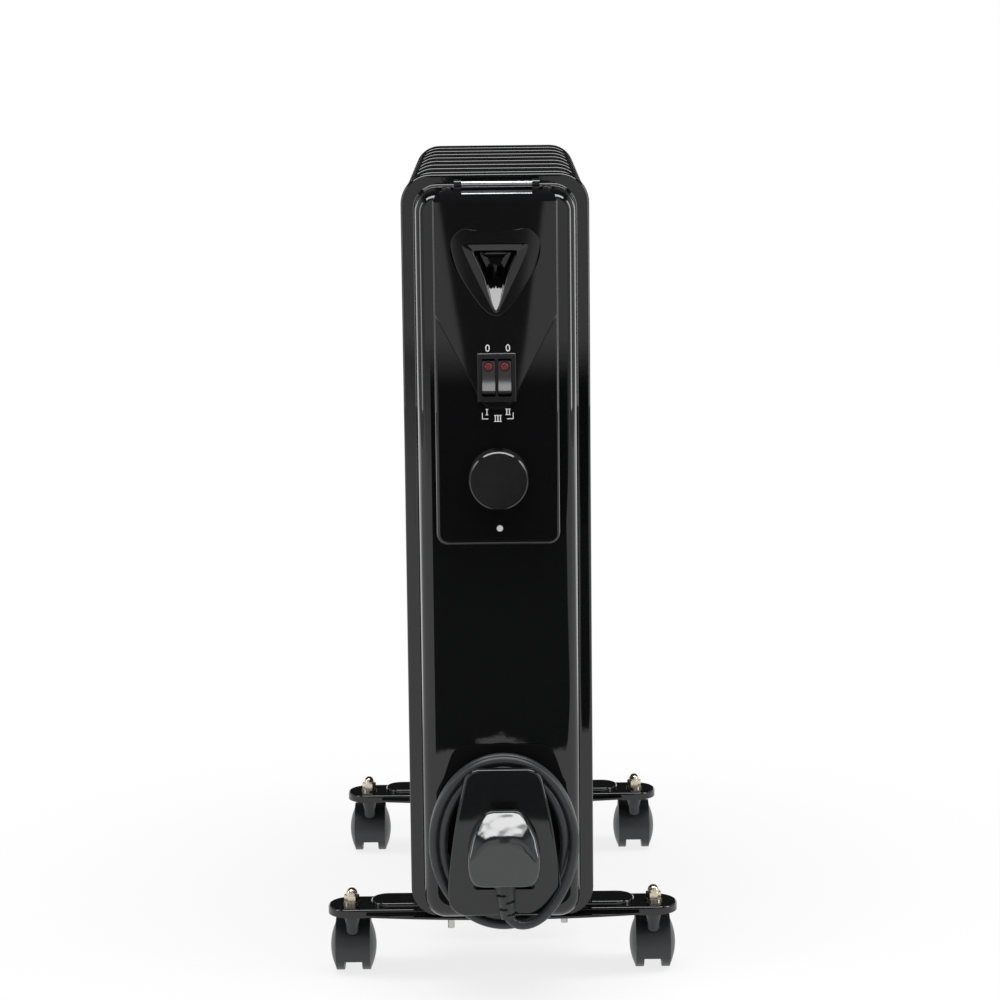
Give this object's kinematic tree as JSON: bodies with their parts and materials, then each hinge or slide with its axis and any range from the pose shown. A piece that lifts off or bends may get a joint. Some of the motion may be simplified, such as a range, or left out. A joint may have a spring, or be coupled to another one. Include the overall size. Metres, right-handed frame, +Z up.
{
  "type": "oil filled radiator heater",
  "caption": "Black oil filled column heater on casters, with rocker switches, a thermostat dial, a grip recess and a wound lead whose plug is docked.",
  "frame": {"origin": "on the floor under the middle of the heater, its lead and plug left out", "axes": "+Z up, -Y towards the control end, +X to the right seen from the control end"},
  "size_m": [0.252, 0.454, 0.581],
  "materials": {
    "black_enamel": "gloss",
    "gloss_black_plastic": "gloss",
    "matt_black_plastic": "satin",
    "lead_rubber": "satin",
    "gasket_rubber": "matt",
    "brass": "satin",
    "zinc_steel": "satin",
    "red_lens": "gloss"
  },
  "bodies": {
    "radiator": {"fin_1": "black_enamel", "fin_2": "black_enamel", "fin_3": "black_enamel", "fin_4": "black_enamel", "fin_5": "black_enamel", "fin_6": "black_enamel", "fin_7": "black_enamel", "fin_8": "black_enamel", "fin_9": "black_enamel", "front_cover": "black_enamel", "control_panel": "gloss_black_plastic", "grip_scoop": "matt_black_plastic", "switch_frame": "gloss_black_plastic", "switch_body": "matt_black_plastic", "thermostat_body": "matt_black_plastic", "element_flange": "brass", "heating_elements": "zinc_steel", "element_gasket": "gasket_rubber", "thermal_cutout": "zinc_steel", "terminal_block": "matt_black_plastic", "cord_hub": "gloss_black_plastic", "dock_plate": "gloss_black_plastic", "cord_gland": "matt_black_plastic", "cord_coil": "lead_rubber", "cord_lead": "lead_rubber", "plug_body": "lead_rubber", "plug_pins": "brass", "plug_strain_relief": "lead_rubber", "grip_bar": "zinc_steel", "grip_brackets": "matt_black_plastic", "top_screws": "zinc_steel", "cover_screws": "zinc_steel", "front_foot_bar": "black_enamel", "rear_foot_bar": "black_enamel", "hangers": "zinc_steel", "header_collars": "black_enamel", "cap_nuts": "zinc_steel", "caster_stems": "zinc_steel"},
    "knob": {"knob": "gloss_black_plastic", "thermostat_shaft": "zinc_steel"},
    "rocker_left": {"rocker_left": "matt_black_plastic", "lens_left": "red_lens"},
    "rocker_right": {"rocker_right": "matt_black_plastic", "lens_right": "red_lens"},
    "caster_front_left": {"caster_hood_front_left": "matt_black_plastic", "caster_axle_front_left": "zinc_steel"},
    "wheel_front_left_left": {"wheel_front_left_left": "matt_black_plastic"},
    "wheel_front_left_right": {"wheel_front_left_right": "matt_black_plastic"},
    "caster_front_right": {"caster_hood_front_right": "matt_black_plastic", "caster_axle_front_right": "zinc_steel"},
    "wheel_front_right_left": {"wheel_front_right_left": "matt_black_plastic"},
    "wheel_front_right_right": {"wheel_front_right_right": "matt_black_plastic"},
    "caster_rear_left": {"caster_hood_rear_left": "matt_black_plastic", "caster_axle_rear_left": "zinc_steel"},
    "wheel_rear_left_left": {"wheel_rear_left_left": "matt_black_plastic"},
    "wheel_rear_left_right": {"wheel_rear_left_right": "matt_black_plastic"},
    "caster_rear_right": {"caster_hood_rear_right": "matt_black_plastic", "caster_axle_rear_right": "zinc_steel"},
    "wheel_rear_right_left": {"wheel_rear_right_left": "matt_black_plastic"},
    "wheel_rear_right_right": {"wheel_rear_right_right": "matt_black_plastic"}
  },
  "joints": [
    {"name": "dial_turn", "type": "hinge", "parent": "radiator", "child": "knob", "pos_m": [0.0006, -0.20485, 0.3771], "axis": [0, 1, 0], "range_deg": [0, 300]},
    {"name": "switch_left", "type": "hinge", "parent": "radiator", "child": "rocker_left", "pos_m": [-0.00545, -0.20085, 0.4468], "axis": [1, 0, 0], "range_deg": [0, 16]},
    {"name": "switch_right", "type": "hinge", "parent": "radiator", "child": "rocker_right", "pos_m": [0.00545, -0.20085, 0.4468], "axis": [1, 0, 0], "range_deg": [0, 16]},
    {"name": "swivel_front_left", "type": "hinge", "parent": "radiator", "child": "caster_front_left", "pos_m": [-0.109, -0.12785, 0.0478], "axis": [0, 0, 1], "continuous": true},
    {"name": "roll_front_left_left", "type": "hinge", "parent": "caster_front_left", "child": "wheel_front_left_left", "pos_m": [-0.109, -0.11085, 0.0185], "axis": [1, 0, 0], "continuous": true},
    {"name": "roll_front_left_right", "type": "hinge", "parent": "caster_front_left", "child": "wheel_front_left_right", "pos_m": [-0.109, -0.11085, 0.0185], "axis": [1, 0, 0], "continuous": true},
    {"name": "swivel_front_right", "type": "hinge", "parent": "radiator", "child": "caster_front_right", "pos_m": [0.109, -0.12785, 0.0478], "axis": [0, 0, 1], "continuous": true},
    {"name": "roll_front_right_left", "type": "hinge", "parent": "caster_front_right", "child": "wheel_front_right_left", "pos_m": [0.109, -0.11085, 0.0185], "axis": [1, 0, 0], "continuous": true},
    {"name": "roll_front_right_right", "type": "hinge", "parent": "caster_front_right", "child": "wheel_front_right_right", "pos_m": [0.109, -0.11085, 0.0185], "axis": [1, 0, 0], "continuous": true},
    {"name": "swivel_rear_left", "type": "hinge", "parent": "radiator", "child": "caster_rear_left", "pos_m": [-0.109, 0.18015, 0.0478], "axis": [0, 0, 1], "continuous": true},
    {"name": "roll_rear_left_left", "type": "hinge", "parent": "caster_rear_left", "child": "wheel_rear_left_left", "pos_m": [-0.109, 0.19715, 0.0185], "axis": [1, 0, 0], "continuous": true},
    {"name": "roll_rear_left_right", "type": "hinge", "parent": "caster_rear_left", "child": "wheel_rear_left_right", "pos_m": [-0.109, 0.19715, 0.0185], "axis": [1, 0, 0], "continuous": true},
    {"name": "swivel_rear_right", "type": "hinge", "parent": "radiator", "child": "caster_rear_right", "pos_m": [0.109, 0.18015, 0.0478], "axis": [0, 0, 1], "continuous": true},
    {"name": "roll_rear_right_left", "type": "hinge", "parent": "caster_rear_right", "child": "wheel_rear_right_left", "pos_m": [0.109, 0.19715, 0.0185], "axis": [1, 0, 0], "continuous": true},
    {"name": "roll_rear_right_right", "type": "hinge", "parent": "caster_rear_right", "child": "wheel_rear_right_right", "pos_m": [0.109, 0.19715, 0.0185], "axis": [1, 0, 0], "continuous": true}
  ]
}
